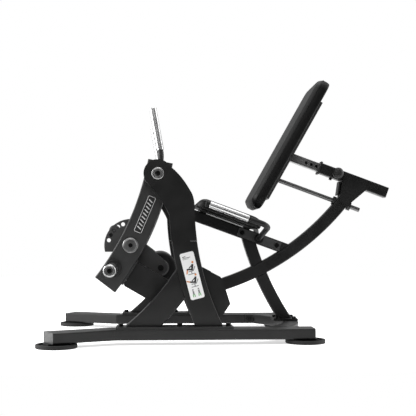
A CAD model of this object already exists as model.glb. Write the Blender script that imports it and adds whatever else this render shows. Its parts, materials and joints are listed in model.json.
import json
import math

import bmesh
import bpy
from mathutils import Matrix, Vector


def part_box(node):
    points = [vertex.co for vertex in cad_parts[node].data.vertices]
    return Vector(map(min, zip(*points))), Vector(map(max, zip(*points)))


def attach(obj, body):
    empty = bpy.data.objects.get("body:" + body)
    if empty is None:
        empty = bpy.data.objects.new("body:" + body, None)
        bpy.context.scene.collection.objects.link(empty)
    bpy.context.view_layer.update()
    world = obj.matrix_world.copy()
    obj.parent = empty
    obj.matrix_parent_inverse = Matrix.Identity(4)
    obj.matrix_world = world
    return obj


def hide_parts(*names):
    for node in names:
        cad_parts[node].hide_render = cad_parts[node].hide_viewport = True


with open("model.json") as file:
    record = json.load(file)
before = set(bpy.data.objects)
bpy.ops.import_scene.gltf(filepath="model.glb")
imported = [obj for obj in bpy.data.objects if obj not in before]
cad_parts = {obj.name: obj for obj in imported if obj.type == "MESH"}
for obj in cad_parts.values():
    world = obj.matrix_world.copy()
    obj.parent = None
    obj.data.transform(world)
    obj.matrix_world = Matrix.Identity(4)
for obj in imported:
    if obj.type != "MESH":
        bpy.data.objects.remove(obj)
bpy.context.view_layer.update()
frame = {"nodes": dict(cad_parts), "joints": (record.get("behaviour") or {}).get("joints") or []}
nodes = frame["nodes"]


def joint(name):
    return next(j for j in frame["joints"] if j["name"] == name)


# Materials


def srgb(value):
    """A grey level or (r, g, b), 0 to 255 as seen, as linear colour."""
    channels = (value,) * 3 if isinstance(value, (int, float)) else value
    out = []
    for c in channels:
        c = c / 255
        out.append(c / 12.92 if c <= 0.04045 else ((c + 0.055) / 1.055) ** 2.4)
    return (*out, 1)


class Mat:
    """A node material in object space, where one unit is a metre."""

    def __init__(self, name, colour, roughness, metallic=0.0, coat=0.0, coat_rough=0.1,
                 spec=0.5, sheen=0.0):
        self.mat = bpy.data.materials.new(name)
        self.mat.use_nodes = True
        self.tree = self.mat.node_tree
        self.bsdf = self.tree.nodes["Principled BSDF"]
        self.bsdf.inputs["Base Color"].default_value = srgb(colour)
        self.bsdf.inputs["Roughness"].default_value = roughness
        self.bsdf.inputs["Metallic"].default_value = metallic
        self.bsdf.inputs["Coat Weight"].default_value = coat
        self.bsdf.inputs["Coat Roughness"].default_value = coat_rough
        self.bsdf.inputs["Specular IOR Level"].default_value = spec
        self.bsdf.inputs["Sheen Weight"].default_value = sheen
        self.mat.diffuse_color = srgb(colour)
        coord = self.tree.nodes.new("ShaderNodeTexCoord")
        self.coord = coord.outputs["Object"]
        self.height = None

    def new(self, kind, **values):
        node = self.tree.nodes.new(kind)
        for key, value in values.items():
            if key in node.inputs:
                node.inputs[key].default_value = value
            else:
                setattr(node, key, value)
        return node

    def link(self, a, b):
        self.tree.links.new(a, b)

    def noise(self, scale, detail=3.0):
        node = self.new("ShaderNodeTexNoise", Scale=scale, Detail=detail, Roughness=0.55)
        self.link(self.coord, node.inputs["Vector"])
        return node.outputs["Fac"]

    def voronoi(self, scale, feature="F1"):
        node = self.new("ShaderNodeTexVoronoi", Scale=scale, feature=feature)
        self.link(self.coord, node.inputs["Vector"])
        return node.outputs["Distance"]

    def ramp(self, value, low, high):
        """Spreads the middle of a noise's range over low to high."""
        node = self.new("ShaderNodeMapRange")
        for key, limit in (("From Min", 0.35), ("From Max", 0.65), ("To Min", low), ("To Max", high)):
            node.inputs[key].default_value = limit
        self.link(value, node.inputs["Value"])
        return node.outputs["Result"]

    def mottle(self, value, low, high):
        """Varies the colour between two grey levels or colours."""
        node = self.new("ShaderNodeMix", data_type="RGBA")
        node.inputs[6].default_value = srgb(low)
        node.inputs[7].default_value = srgb(high)
        self.link(self.ramp(value, 0, 1), node.inputs[0])
        self.link(node.outputs[2], self.bsdf.inputs["Base Color"])
        return self

    def roughen(self, value, low, high):
        self.link(self.ramp(value, low, high), self.bsdf.inputs["Roughness"])
        return self

    def bump(self, value, depth, strength=1.0):
        node = self.new("ShaderNodeBump", Strength=strength, Distance=depth)
        self.link(value, node.inputs["Height"])
        if self.height:
            self.link(self.height, node.inputs["Normal"])
        self.height = node.outputs["Normal"]
        self.link(self.height, self.bsdf.inputs["Normal"])
        return self


def powder_coat(name, grey, roughness=0.42):
    m = Mat(name, grey, roughness, coat=0.03, coat_rough=0.3, spec=0.35)
    m.mottle(m.noise(9, 4), grey - 2, grey + 2)
    m.roughen(m.noise(14, 4), roughness - 0.05, roughness + 0.06)
    m.bump(m.noise(620, 2), 0.00008, 0.2)
    m.bump(m.noise(60, 2), 0.0001, 0.1)
    return m.mat


def chrome(name, grey, roughness):
    m = Mat(name, grey, roughness, metallic=1.0)
    m.mottle(m.noise(20, 2), grey - 3, grey + 3)
    m.roughen(m.noise(20, 2), roughness, roughness + 0.04)
    return m.mat


def shade(colour, step):
    if isinstance(colour, tuple):
        return tuple(c + step for c in colour)
    return colour + step


def plastic(name, grey, roughness=0.5):
    m = Mat(name, grey, roughness)
    m.mottle(m.noise(20, 3), shade(grey, -2), shade(grey, 2))
    m.roughen(m.noise(90, 3), roughness - 0.05, roughness + 0.08)
    m.bump(m.noise(900, 2), 0.00008, 0.4)
    return m.mat


def rubber(name, grey, roughness=0.68):
    m = Mat(name, grey, roughness, spec=0.4)
    m.mottle(m.noise(25, 4), grey - 3, grey + 3)
    m.bump(m.noise(380, 3), 0.0002, 0.5)
    return m.mat


def vinyl(name, grey):
    m = Mat(name, grey, 0.5, spec=0.2)
    m.mottle(m.noise(12, 3), grey - 1, grey + 1)
    m.roughen(m.noise(40, 3), 0.46, 0.54)
    m.bump(m.voronoi(420, "DISTANCE_TO_EDGE"), 0.00004, 0.05)
    m.bump(m.noise(18, 2), 0.0004, 0.05)
    return m.mat


def foam(name, grey):
    m = Mat(name, grey, 0.85, sheen=0.15)
    m.mottle(m.noise(60, 5), grey - 3, grey + 5)
    m.bump(m.voronoi(760), 0.0004, 0.6)
    m.bump(m.noise(20, 3), 0.001, 0.2)
    return m.mat


def steel(name, grey, roughness=0.3):
    m = Mat(name, grey, roughness, metallic=1.0)
    m.mottle(m.noise(18, 3), grey - 4, grey + 4)
    m.roughen(m.noise(30, 3), roughness - 0.04, roughness + 0.06)
    m.bump(m.noise(300, 2), 0.00003, 0.1)
    return m.mat


M = {
    "frame": powder_coat("frame_coat", 16),
    "arm": powder_coat("arm_coat", 50, 0.4),
    "dark": powder_coat("dark_coat", 9, 0.5),
    "side": powder_coat("plate_coat", 66, 0.4),
    "plastic": plastic("black_plastic", 16),
    "cap": plastic("cap_plastic", 22, 0.4),
    "rubber": rubber("foot_rubber", 10),
    "vinyl": vinyl("black_vinyl", 13),
    "piping": vinyl("piping_vinyl", 10),
    "foam": foam("roller_foam_skin", 16),
    "chrome": chrome("chrome", 200, 0.16),
    "grip": chrome("grip_chrome", 206, 0.27),
    "disc": chrome("satin_chrome", 158, 0.28),
    "bolt": steel("blackened_bolt", 40, 0.38),
    "rod": steel("ground_rod", 112, 0.38),
    "plated": steel("plated_steel", 135, 0.36),
    "bronze": steel("bronze", 150, 0.4),
    "white": plastic("placard_white", 226, 0.4),
    "ink": plastic("placard_ink", 30, 0.5),
    "grey_ink": plastic("placard_grey_ink", 120, 0.5),
    "silver": plastic("badge_silver", 205, 0.35),
    "orange": plastic("placard_orange", (206, 128, 62), 0.5),
    "green": plastic("placard_green", (90, 170, 90), 0.5),
}

# The material of each CAD node
LOOKS = {
    "frame": ["base_rail_left", "base_rail_right", "rear_cross_tube", "bolting_flanges",
              "aframe_left", "aframe_right", "head_plates", "aframe_foot_plates", "cross_beam",
              "stop_boxes", "main_beam", "rear_posts", "rear_foot_plate", "sleeve_tube",
              "sleeve_gussets", "pin_lever", "link_hub"],
    "arm": ["arm_left", "arm_right", "arm_caps", "arm_stop_plates", "top_handles"],
    "dark": ["seat_beam", "seat_board", "foot_plinths", "seat_handles"],
    "side": ["handle_plates", "roller_links", "back_board", "sector_plate"],
    "cap": ["end_caps"],
    "plastic": ["sleeve_bushes", "guide_bushes", "sector_knob", "back_knob", "badges"],
    "rubber": ["foot_pads", "stop_bumpers", "horn_stops"],
    "chrome": ["seat_grips", "pivot_shafts", "pivot_rings", "cross_shaft", "arm_covers",
               "weight_horns", "top_grips", "roller_core", "sector_pin", "back_pin"],
    "rod": ["guide_rod"],
    "bolt": ["frame_bolts", "back_bolts", "back_pin_housing", "roller_axle"],
    "plated": ["back_post"],
    "bronze": ["arm_bushes"],
    "white": ["placard"],
    "vinyl": ["seat_pad", "back_pad"],
    "foam": ["roller_foam"],
}


def paint(obj, material):
    obj.data.materials.clear()
    obj.data.materials.append(material)


for look, names in LOOKS.items():
    for n in names:
        paint(nodes[n], M[look])


# Rounded edges on the steelwork: flat areas are joined up, then their rims are bevelled

# Width in metres of the rounding on a node's rims
EDGE = {
    0.0012: ["aframe_foot_plates", "rear_foot_plate", "sleeve_gussets", "bolting_flanges",
             "seat_board", "back_board", "handle_plates", "roller_links", "pin_lever",
             "sector_plate", "arm_stop_plates", "foot_plinths", "head_plates"],
    0.003: ["cross_beam", "stop_boxes", "end_caps"],
    0.0006: ["frame_bolts", "guide_bushes", "back_pin_housing", "back_bolts", "roller_core",
             "link_hub"],
}


def soften(obj, width):
    dissolve = obj.modifiers.new("flats", "DECIMATE")
    dissolve.decimate_type = "DISSOLVE"
    dissolve.angle_limit = math.radians(0.8)
    bevel = obj.modifiers.new("rims", "BEVEL")
    bevel.width = width
    bevel.segments = 3
    bevel.limit_method = "ANGLE"
    bevel.angle_limit = math.radians(38)
    bevel.use_clamp_overlap = True
    bevel.harden_normals = False
    obj.modifiers.new("normals", "WEIGHTED_NORMAL")


for width, names in EDGE.items():
    for n in names:
        soften(nodes[n], width)


# Pieces


def new_object(name, mesh, material, body=None):
    obj = bpy.data.objects.new(name, mesh)
    bpy.context.scene.collection.objects.link(obj)
    if material:
        paint(obj, material)
    if body:
        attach(obj, body)
    return obj


def mesh_from(name, bm, smooth=True):
    mesh = bpy.data.meshes.new(name)
    bmesh.ops.recalc_face_normals(bm, faces=bm.faces)
    bm.to_mesh(mesh)
    bm.free()
    if smooth:
        mesh.shade_smooth()
    return mesh


def principal_frame(origin, x_dir):
    """A frame in the side view: x along x_dir, y across the machine, z square to both."""
    x = Vector(x_dir).normalized()
    y = Vector((0, 1, 0))
    z = x.cross(y)
    return Matrix.Translation(origin) @ Matrix((x, y, z)).transposed().to_4x4()


# The seat slopes as the backrest slides
slide_dir = Vector(joint("back_slide")["axis"])

floor_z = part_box("foot_pads")[0][2]


def joint_xz(name):
    place = joint(name)["pos_m"]
    return place[0], place[2]


def local_box(node, matrix):
    inv = matrix.inverted()
    pts = [inv @ v.co for v in nodes[node].data.vertices]
    lo = Vector([min(p[i] for p in pts) for i in range(3)])
    hi = Vector([max(p[i] for p in pts) for i in range(3)])
    return lo, hi


# Floor, light and camera

floor_size = 3.6
floor_front = -1.15
bm = bmesh.new()
bmesh.ops.create_grid(bm, x_segments=1, y_segments=1, size=floor_size)
floor = new_object("floor", mesh_from("floor", bm), None)
floor.location = (0, floor_front + floor_size, floor_z - 0.0005)
fm = Mat("floor_white", 250, 0.9, spec=0.0)
fm.mottle(fm.noise(2.0), 249, 252)
fm.bsdf.inputs["Emission Color"].default_value = (1, 1, 1, 1)
fm.bsdf.inputs["Emission Strength"].default_value = 0.6
paint(floor, fm.mat)



def studio_world(back, side, up, down):
    """A white backdrop to the eye, which lights the object least from the side it is viewed from."""
    world = bpy.data.worlds.new("studio")
    bpy.context.scene.world = world
    world.use_nodes = True
    tree = world.node_tree
    coord = tree.nodes.new("ShaderNodeTexCoord")
    split = tree.nodes.new("ShaderNodeSeparateXYZ")
    tree.links.new(coord.outputs["Generated"], split.inputs[0])

    def remap(value, lo, hi, a, b):
        node = tree.nodes.new("ShaderNodeMapRange")
        node.interpolation_type = "SMOOTHSTEP"
        for key, v in (("From Min", lo), ("From Max", hi), ("To Min", a), ("To Max", b)):
            node.inputs[key].default_value = v
        tree.links.new(value, node.inputs["Value"])
        return node.outputs["Result"]

    def math_node(kind, a, b):
        node = tree.nodes.new("ShaderNodeMath")
        node.operation = kind
        tree.links.new(a, node.inputs[0])
        if isinstance(b, float):
            node.inputs[1].default_value = b
        else:
            tree.links.new(b, node.inputs[1])
        return node.outputs[0]

    from_side = remap(split.outputs["Y"], -0.95, -0.1, back, side)
    from_up = remap(split.outputs["Z"], 0.15, 0.95, 0, up)
    light = math_node("ADD", from_side, from_up)
    light = math_node("MULTIPLY", light, remap(split.outputs["Z"], -0.6, -0.05, down, 1))
    path = tree.nodes.new("ShaderNodeLightPath")
    mix = tree.nodes.new("ShaderNodeMix")
    tree.links.new(path.outputs["Is Camera Ray"], mix.inputs[0])
    tree.links.new(light, mix.inputs[2])
    mix.inputs[3].default_value = 1.0
    background = tree.nodes["Background"]
    background.inputs["Color"].default_value = (1, 1, 1, 1)
    tree.links.new(mix.outputs[0], background.inputs["Strength"])


studio_world(back=0.07, side=0.5, up=0.4, down=0.5)
bpy.context.scene.view_settings.view_transform = "Standard"


def softbox(name, place, target, size, power):
    data = bpy.data.lights.new(name, "AREA")
    data.shape = "RECTANGLE"
    data.size, data.size_y = size
    data.energy = power
    lamp = bpy.data.objects.new(name, data)
    bpy.context.scene.collection.objects.link(lamp)
    lamp.location = place
    lamp.rotation_euler = (Vector(target) - Vector(place)).to_track_quat("-Z", "Y").to_euler()
    return lamp


middle = (0, 0, 0.55)
softbox("key_left", (-3.4, 0.0, 1.5), middle, (1.8, 2.6), 125)
softbox("edge_left", (-3.6, -2.2, 1.2), middle, (0.6, 2.4), 12)
softbox("front_top", (-0.7, -3.4, 2.3), (0, 0, 0.9), (2.6, 1.0), 28)
softbox("rim_right", (3.4, 0.2, 1.6), middle, (1.6, 2.6), 50)
softbox("top", (0.2, 0.2, 3.4), middle, (3.2, 2.0), 60)

CAMERA = {"place": (-0.3051, -3.999, 0.4372), "yaw": 0.061, "pitch": 0.037, "focal_px": 860}
IMAGE_PX = 416
cam_data = bpy.data.cameras.new("camera")
cam_data.sensor_width = 36
cam_data.lens = CAMERA["focal_px"] * cam_data.sensor_width / IMAGE_PX
cam = bpy.data.objects.new("camera", cam_data)
bpy.context.scene.collection.objects.link(cam)
cam.location = CAMERA["place"]
yaw, pitch = CAMERA["yaw"], CAMERA["pitch"]
forward = Vector((math.sin(yaw) * math.cos(pitch), math.cos(yaw) * math.cos(pitch), math.sin(pitch)))
cam.rotation_euler = forward.to_track_quat("-Z", "Y").to_euler()
bpy.context.scene.camera = cam


# Rings of vertices, the skeleton of every padded or turned piece


def join_rings(bm, rings, closed=False):
    """Faces from each ring to the next, where a ring of one vertex is a tip."""
    pairs = list(zip(rings, rings[1:]))
    if closed:
        pairs.append((rings[-1], rings[0]))
    for a, b in pairs:
        n = max(len(a), len(b))
        for k in range(n):
            m = (k + 1) % n
            if len(a) == 1:
                bm.faces.new((a[0], b[k], b[m]))
            elif len(b) == 1:
                bm.faces.new((a[k], a[m], b[0]))
            else:
                bm.faces.new((a[k], a[m], b[m], b[k]))


def turned_ring(bm, place, y, radius, seg):
    """A ring about an axis across the machine, or its tip; place is the axis in the side view."""
    if radius < 1e-6:
        return [bm.verts.new((place[0], y, place[1]))]
    angles = [2 * math.pi * k / seg for k in range(seg)]
    return [bm.verts.new((place[0] + radius * math.cos(a), y, place[1] + radius * math.sin(a)))
            for a in angles]


# Pads: a stuffed cover with a bevelled front edge, a piped seam and a flat back on its board

CORNERS = ((1, 1, 0), (-1, 1, 90), (-1, -1, 180), (1, -1, 270))


def pad_outline(half, corner, inset):
    """A rounded rectangle about the origin, with extra points along its long straight edges."""
    corner_steps, edge_step = 12, 0.03
    r = max(corner - inset, 0.004)
    hx, hy = half[0] - inset, half[1] - inset
    points = []
    for sx, sy, start in CORNERS:
        for k in range(corner_steps + 1):
            a = math.radians(start + 90 * k / corner_steps)
            points.append((sx * (hx - r) + r * math.cos(a), sy * (hy - r) + r * math.sin(a)))
    pieces = int(max(half) * 2 / edge_step)
    dense = []
    for p, q in zip(points, points[1:] + points[:1]):
        dense.append(p)
        if math.dist(p, q) > 0.05:
            dense += [(p[0] + (q[0] - p[0]) * j / pieces, p[1] + (q[1] - p[1]) * j / pieces)
                      for j in range(1, pieces)]
    return dense


def pad_profile(side, bevel, back_round):
    """(inset from the outline, height) from the edge of the back to the edge of the front."""
    hollow, side_steps, bevel_steps = 0.0015, 7, 8
    profile = [(back_round * (1 - math.sin(a)), back_round * (1 - math.cos(a)))
               for a in [math.radians(d) for d in (0, 22, 45, 68, 90)]]
    for i in range(1, side_steps):
        share = i / side_steps
        profile.append((-hollow * math.sin(math.pi * share), back_round + (side - back_round) * share))
    profile.append((0, side))
    for i in range(1, bevel_steps + 1):
        share = i / bevel_steps
        profile.append((bevel * 1.15 * share ** 1.2, side + bevel * (1 - (1 - share) ** 1.2)))
    return profile


def pad_mesh(name, lo, hi, corner, side, bevel, crown, back_round):
    """A pad with x, y in its plane and z out of its front; lo.z is at its back."""
    half = ((hi[0] - lo[0]) / 2, (hi[1] - lo[1]) / 2)
    mid = ((hi[0] + lo[0]) / 2, (hi[1] + lo[1]) / 2)
    bm = bmesh.new()
    profile = pad_profile(side, bevel, back_round)
    rings = [[bm.verts.new((mid[0] + x, mid[1] + y, lo[2] + z)) for x, y in pad_outline(half, corner, inset)]
             for inset, z in profile]
    front_inset, front_z = profile[-1]
    # The front, swelling towards the middle
    for t in (0.01, 0.02, 0.035, 0.05, 0.07, 0.09, 0.12, 0.16, 0.22, 0.3, 0.42, 0.6, 0.8):
        f = 1 - t * 0.97
        z = lo[2] + front_z + crown * (1 - f ** 2) ** 0.8
        rings.append([bm.verts.new((mid[0] + x * f, mid[1] + y * f, z))
                      for x, y in pad_outline(half, corner, front_inset)])
    join_rings(bm, rings)
    bm.faces.new(rings[-1])
    bm.faces.new(list(reversed(rings[0])))
    return mesh_from(name, bm)


def tube_along(name, points, radius, material, body, closed=False):
    curve = bpy.data.curves.new(name, "CURVE")
    curve.dimensions = "3D"
    spline = curve.splines.new("POLY")
    spline.points.add(len(points) - 1)
    for sp, p in zip(spline.points, points):
        sp.co = (*p, 1)
    spline.use_cyclic_u = closed
    curve.bevel_depth = radius
    curve.bevel_resolution = 3
    curve.use_fill_caps = not closed
    obj = bpy.data.objects.new(name, curve)
    bpy.context.scene.collection.objects.link(obj)
    obj.data.materials.append(material)
    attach(obj, body)
    return obj


def sloped(p, lo, hi, front, rear):
    """A point of the cover, rounded down at the front and the rear, each (length, drop)."""
    share = max(0, (p[2] - lo[2]) / (hi[2] - lo[2]))
    drop = 0
    for (length, fall), d in ((front, p[0] - lo[0]), (rear, hi[0] - p[0])):
        if d < length:
            t = min(1 - d / length, 1)
            drop += share * fall * (1 - math.sqrt(1 - t * t))
    return Vector((p[0], p[1], p[2] - drop))


def make_pad(name, node, body, matrix, lo, hi, corner, bevel, crown, back_round, ends):
    """The cushion that stands for a CAD pad: matrix is its frame, and lo and hi its box there."""
    side = hi[2] - lo[2] - bevel - crown
    mesh = pad_mesh(name, lo, hi, corner, side, bevel, crown, back_round)
    for v in mesh.vertices:
        v.co = matrix @ sloped(v.co, lo, hi, *ends)
    pad = new_object(name, mesh, M["vinyl"], body)
    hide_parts(node)
    half = ((hi[0] - lo[0]) / 2, (hi[1] - lo[1]) / 2)
    mid = ((hi[0] + lo[0]) / 2, (hi[1] + lo[1]) / 2)
    piping_r = 0.0012
    seam = [matrix @ sloped((mid[0] + x, mid[1] + y, lo[2] + side), lo, hi, *ends)
            for x, y in pad_outline(half, corner, -piping_r / 2)]
    tube_along(name + "_piping", seam, piping_r, M["piping"], body, closed=True)


# z of this frame points up out of the seat
seat_matrix = principal_frame((0, 0, 0), slide_dir)
lo, hi = local_box("seat_pad", seat_matrix)
make_pad("seat_cushion", "seat_pad", "frame", seat_matrix, lo, hi, corner=0.05, bevel=0.01,
         crown=0.004, back_round=0.006, ends=((0.042, 0.036), (0.05, 0.022)))

# z of this frame points out of the front of the back pad, towards the sitter
back_angle = math.radians(60.5)
back_matrix = principal_frame((0, 0, 0), (math.cos(back_angle), 0, math.sin(back_angle)))
lo, hi = local_box("back_pad", back_matrix)
# The cover is drawn in a little at the lower end
lo.x += 0.008
make_pad("back_cushion", "back_pad", "backrest", back_matrix, lo, hi, corner=0.05, bevel=0.016,
         crown=0.003, back_round=0.008, ends=((0.03, 0.02), (0.018, 0.014)))


# Roller foam


def roller_foam():
    """The foam sleeve, with rounded rims and faint swells along its length."""
    place = joint_xz("roller_spin")
    lo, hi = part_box("roller_foam")
    half_len = (hi[1] - lo[1]) / 2
    radius = (hi[2] - lo[2]) / 2
    rim, rim_steps, swell, swell_steps = 0.012, 8, 0.0004, 24
    end = [(radius * 0.24, -half_len), (radius * 0.5, -half_len + 0.0015),
           (radius * 0.8, -half_len + 0.001)]
    for i in range(rim_steps + 1):
        a = math.radians(90 * i / rim_steps)
        end.append((radius - rim + rim * math.sin(a), -half_len + rim - rim * math.cos(a)))
    straight = half_len - rim
    skin = [(radius - swell * (1 + math.sin(k * 2.1)), straight * (2 * k / swell_steps - 1))
            for k in range(1, swell_steps)]
    profile = end + skin + [(r, -y) for r, y in reversed(end)]
    bm = bmesh.new()
    join_rings(bm, [turned_ring(bm, place, y, r, 72) for r, y in profile], closed=True)
    roller = new_object("roller_sleeve", mesh_from("roller_sleeve", bm), M["foam"], "roller")
    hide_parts("roller_foam")


roller_foam()


# Turned pieces: rings, covers, horns, stops, grips, screws and knobs

SHARP = math.radians(28)


def turned(name, place, profile, material, body, sides=(-1, 1), node=None):
    """A piece turned about an axis across the machine, from (distance out, radius) pairs, on each side."""
    bm = bmesh.new()
    for side in sides:
        join_rings(bm, [turned_ring(bm, place, side * y, r, 64) for y, r in profile])
    obj = new_object(name, mesh_from(name, bm), material, body)
    obj.data.set_sharp_from_angle(angle=SHARP)
    if node:
        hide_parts(node)


def socket_bolt(name, place, y, r, socket, body):
    """A dark cap screw on each side, with a hexagon socket, its face at y."""
    seg, rim, height, depth = 48, 0.0008, 0.004, 0.0035
    apothem, sixth = socket * math.cos(math.pi / 6), math.pi / 3
    bm = bmesh.new()
    for side in (-1, 1):
        rings = [turned_ring(bm, place, side * (y + dy), radius, seg)
                 for dy, radius in ((-height, r), (-rim, r), (0, r - rim))]
        for dy in (0, -depth):
            ring = []
            for a in [2 * math.pi * k / seg for k in range(seg)]:
                edge = apothem / math.cos((a % sixth) - sixth / 2)
                ring.append(bm.verts.new((place[0] + edge * math.cos(a), side * (y + dy),
                                          place[1] + edge * math.sin(a))))
            rings.append(ring)
        join_rings(bm, rings)
        bm.faces.new(rings[-1])
    obj = new_object(name, mesh_from(name, bm), M["bolt"], body)
    obj.data.set_sharp_from_angle(angle=SHARP)


def tube_of(points):
    """The middle, axis, half length, outer and inner radius of a straight tube's vertices."""
    middle = sum(points, Vector()) / len(points)
    far = max(points, key=lambda p: (p - middle).length)
    near_end = [p for p in points if (p - far).length < (far - middle).length * 0.6]
    axis = (sum(near_end, Vector()) / len(near_end) - middle).normalized()
    half = max(abs((p - middle).dot(axis)) for p in points)
    reach = [((p - middle) - axis * (p - middle).dot(axis)).length for p in points]
    return middle, axis, half, max(reach), min(reach)


def grip_tubes(name, node, body):
    """Smooth chrome tubes in the place of a node that holds one straight tube a side."""
    seg, rim = 48, 0.001
    bm = bmesh.new()
    for side in (-1, 1):
        points = [v.co for v in nodes[node].data.vertices if v.co.y * side > 0]
        middle, axis, half, outer, inner = tube_of(points)
        matrix = principal_frame(middle, axis)
        rings = []
        for x, r in ((-half, inner), (-half, outer - rim), (rim - half, outer), (half - rim, outer),
                     (half, outer - rim), (half, inner)):
            rings.append([bm.verts.new(matrix @ Vector((x, r * math.cos(a), r * math.sin(a))))
                          for a in [2 * math.pi * k / seg for k in range(seg)]])
        join_rings(bm, rings, closed=True)
    obj = new_object(name, mesh_from(name, bm), M["grip"], body)
    obj.data.set_sharp_from_angle(angle=SHARP)
    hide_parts(node)


def outer_y(node):
    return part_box(node)[1][1]


def radius_of(node):
    lo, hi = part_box(node)
    return (hi[0] - lo[0]) / 2


def centre_xz(node):
    lo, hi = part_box(node)
    return (lo[0] + hi[0]) / 2, (lo[2] + hi[2]) / 2


def pivot_rings():
    """A dished chrome ring and its screw on each pivot."""
    place = joint_xz("arm_swing")
    head, face, r = outer_y("head_plates"), outer_y("pivot_rings"), radius_of("pivot_rings")
    dish = face - 0.0016
    turned("pivot_ring_chrome", place,
           [(head, r - 0.0004), (face - 0.0022, r), (face - 0.0006, r - 0.0018), (face, r - 0.0032),
            (face, r - 0.0062), (dish, r - 0.0075), (dish, 0.0115), (head + 0.001, 0.0112)],
           M["disc"], "frame", node="pivot_rings")
    socket_bolt("pivot_screws", place, face - 0.0004, 0.011, 0.0052, "frame")


def shaft_covers():
    """A chrome disc and its screw on each end of the cross shaft."""
    place = joint_xz("roller_adjust")
    arm, r = outer_y("arm_right"), 0.0325
    face = arm + 0.008
    dish = face - 0.0008
    turned("shaft_covers", place,
           [(arm, r - 0.0006), (face - 0.002, r), (face - 0.0005, r - 0.0012), (face, r - 0.0026),
            (face, r - 0.006), (dish, r - 0.0072), (dish, 0.0092), (face - 0.004, 0.0088)],
           M["disc"], "arm", node="arm_covers")
    socket_bolt("shaft_screws", place, face - 0.0012, 0.0086, 0.0045, "arm")


def horn_caps():
    """A dished chrome cap on the end of each horn."""
    tip, cap, r = outer_y("weight_horns"), outer_y("arm_covers"), radius_of("weight_horns")
    dish = cap - 0.0015
    turned("horn_caps", centre_xz("weight_horns"),
           [(tip, r - 0.0006), (cap - 0.0045, r - 0.0006), (cap - 0.0015, r - 0.0026), (cap, r - 0.0062),
            (cap, 0.0168), (dish, 0.0155), (dish, 0.0096), (cap - 0.004, 0.0092)],
           M["disc"], "arm")


def weight_horns():
    """The horns and their rubber stops."""
    place = centre_xz("weight_horns")
    arm, stop, tip = (outer_y(n) for n in ("arm_right", "horn_stops", "weight_horns"))
    r, stop_r = radius_of("weight_horns"), radius_of("horn_stops")
    turned("horn_tubes", place,
           [(arm, r - 0.001), (stop, r - 0.001), (stop + 0.0001, r), (tip - 0.001, r), (tip, r - 0.001),
            (tip, 0.010)],
           M["chrome"], "arm", node="weight_horns")
    turned("horn_stop_rings", place,
           [(arm, stop_r - 0.0015), (arm + 0.0015, stop_r), (stop - 0.004, stop_r),
            (stop - 0.0012, stop_r - 0.0012), (stop, stop_r - 0.004), (stop, r - 0.0009)],
           M["rubber"], "arm", node="horn_stops")


def knob(name, node, body, inner_first):
    """A smooth ball-like pull knob with a neck, in the place of its CAD node."""
    lo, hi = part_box(node)
    length, r = hi[1] - lo[1], radius_of(node)
    start, way = (lo[1], 1) if inner_first else (hi[1], -1)
    # Shares of the length and of the radius, for the neck and then the ball
    shares = [(0, 0.30), (0, 0.5), (0.03, 0.54), (0.16, 0.56), (0.24, 0.68)]
    for i in range(1, 17):
        a = math.radians(-52 + 142 * i / 16)
        shares.append((0.61 + 0.39 * math.sin(a), math.cos(a)))
    profile = [(start + way * t * length, f * r) for t, f in shares]
    turned(name, centre_xz(node), profile, M["plastic"], body, sides=(1,), node=node)


pivot_rings()
shaft_covers()
horn_caps()
socket_bolt("axle_screws", joint_xz("roller_spin"), outer_y("roller_axle") + 0.0012, 0.0125, 0.006,
            "roller_frame")
socket_bolt("horn_screws", centre_xz("weight_horns"), outer_y("arm_covers") - 0.0016, 0.009, 0.0045,
            "arm")
weight_horns()
grip_tubes("seat_grip_tubes", "seat_grips", "frame")
grip_tubes("top_grip_tubes", "top_grips", "arm")
knob("back_pull_knob", "back_knob", "back_pull", False)
knob("sector_pull_knob", "sector_knob", "sector_pull", True)

# Badge and placard: plain graphics without lettering


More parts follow.
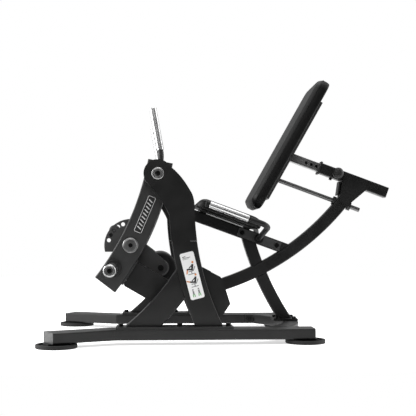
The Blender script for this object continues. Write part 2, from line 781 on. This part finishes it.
class Sheet:
    """Flat shapes a hair above a plate that stands in the side view, facing -Y."""

    def __init__(self, centre, angle, y):
        self.centre, self.y = centre, y
        a = math.radians(angle)
        self.u, self.v = (math.cos(a), math.sin(a)), (-math.sin(a), math.cos(a))
        self.layers = {}

    def point(self, u, v, lift):
        x = self.centre[0] + u * self.u[0] + v * self.v[0]
        z = self.centre[1] + u * self.u[1] + v * self.v[1]
        return (x, self.y - lift, z)

    def shape(self, layer, points, lift=0.0002):
        bm = self.layers.setdefault(layer, bmesh.new())
        front = [bm.verts.new(self.point(u, v, lift)) for u, v in points]
        back = [bm.verts.new(self.point(u, v, 0)) for u, v in points]
        n = len(points)
        bm.faces.new(front)
        bm.faces.new(list(reversed(back)))
        for i in range(n):
            bm.faces.new((front[i], back[i], back[(i + 1) % n], front[(i + 1) % n]))

    def disc(self, layer, u, v, r):
        self.shape(layer, [(u + r * math.cos(2 * math.pi * k / 20), v + r * math.sin(2 * math.pi * k / 20))
                           for k in range(20)])

    def bar(self, layer, p, q, w):
        d = (q[0] - p[0], q[1] - p[1])
        n = math.hypot(*d)
        nx, ny = -d[1] / n * w / 2, d[0] / n * w / 2
        self.shape(layer, [(p[0] + nx, p[1] + ny), (q[0] + nx, q[1] + ny), (q[0] - nx, q[1] - ny),
                           (p[0] - nx, p[1] - ny)])

    def line(self, layer, points, w):
        for p, q in zip(points, points[1:]):
            self.bar(layer, p, q, w)
            self.disc(layer, q[0], q[1], w / 2)

    def frame(self, layer, w, h, r, t):
        """An outline: a rounded rectangle of width w and height h, t thick."""
        outer, inner = [], []
        for sx, sy, start in CORNERS:
            for k in range(7):
                a = math.radians(start + 15 * k)
                for ring, rr in ((outer, r), (inner, r - t)):
                    ring.append((sx * (w / 2 - r) + rr * math.cos(a), sy * (h / 2 - r) + rr * math.sin(a)))
        n = len(outer)
        for i in range(n):
            j = (i + 1) % n
            self.shape(layer, [outer[i], outer[j], inner[j], inner[i]])

    def finish(self, name, materials, body):
        for layer, bm in self.layers.items():
            piece = f"{name}_{layer}"
            new_object(piece, mesh_from(piece, bm, smooth=False), materials[layer], body)


def badges():
    """An outline with slanted bars in place of lettering, on the badge of each arm."""
    length, width, margin, bars, pitch = 0.168, 0.037, 0.003, 9, 0.0155
    lo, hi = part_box("badges")
    for side, y in (("left", lo[1]), ("right", hi[1] + 0.0002)):
        badge = Sheet(centre_xz("badges"), 67, y)
        badge.frame("silver", length - margin, width - margin, 0.006, 0.0022)
        for k in range(bars):
            u = (k - (bars - 1) / 2) * pitch
            badge.bar("silver", (u - 0.004, -0.0095), (u + 0.004, 0.0095), 0.0046)
        badge.finish("badge_" + side, {"silver": M["silver"]}, "arm")


def seated_figure(card, u0, straight):
    """A seated figure on a bench, with the shin hanging or held straight."""
    thick, thin = 0.0066, 0.0034
    card.line("grey", [(u0, 0.021), (u0 + 0.017, 0.010), (u0 + 0.017, -0.010)], thin)
    card.line("grey", [(u0 + 0.017, 0.002), (u0 + 0.028, 0.002)], thin)
    card.bar("grey", (u0 + 0.029, -0.014), (u0 + 0.029, 0.016), 0.003)
    card.disc("orange", u0 - 0.019, 0.015, 0.0046)
    hip, knee = (u0 + 0.011, 0.006), (u0 + 0.007, -0.013)
    foot = (u0 + 0.001, -0.027) if straight else (u0 + 0.024, -0.019)
    card.line("ink", [(u0 - 0.011, 0.013), hip], 0.0082)
    card.line("ink", [hip, knee], thick)
    card.line("orange", [knee, foot], 0.005)
    card.line("ink", [(u0 - 0.008, 0.011), (u0 + 0.003, -0.005)], 0.004)


def placard():
    """Bars in place of text, two seated figures, and two small torsos with marked thighs."""
    card = Sheet(centre_xz("placard"), -75.5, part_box("placard")[0][1])
    for layer, u, v, w in (("ink", -0.084, -0.008, 0.003), ("ink", -0.078, 0.012, 0.0022),
                           ("grey", -0.073, 0.004, 0.0018)):
        card.bar(layer, (u, -0.022), (u, v), w)
    seated_figure(card, -0.036, False)
    seated_figure(card, 0.018, True)
    for v in (-0.012, 0.012):
        card.disc("grey", 0.059, v, 0.0034)
        card.line("grey", [(0.064, v), (0.076, v)], 0.0068)
        for way in (-1, 1):
            card.line("green", [(0.078, v + way * 0.003), (0.088, v + way * 0.004)], 0.0036)
    card.finish("placard_print", {"ink": M["ink"], "grey": M["grey_ink"], "orange": M["orange"],
                                  "green": M["green"]}, "frame")


badges()
placard()
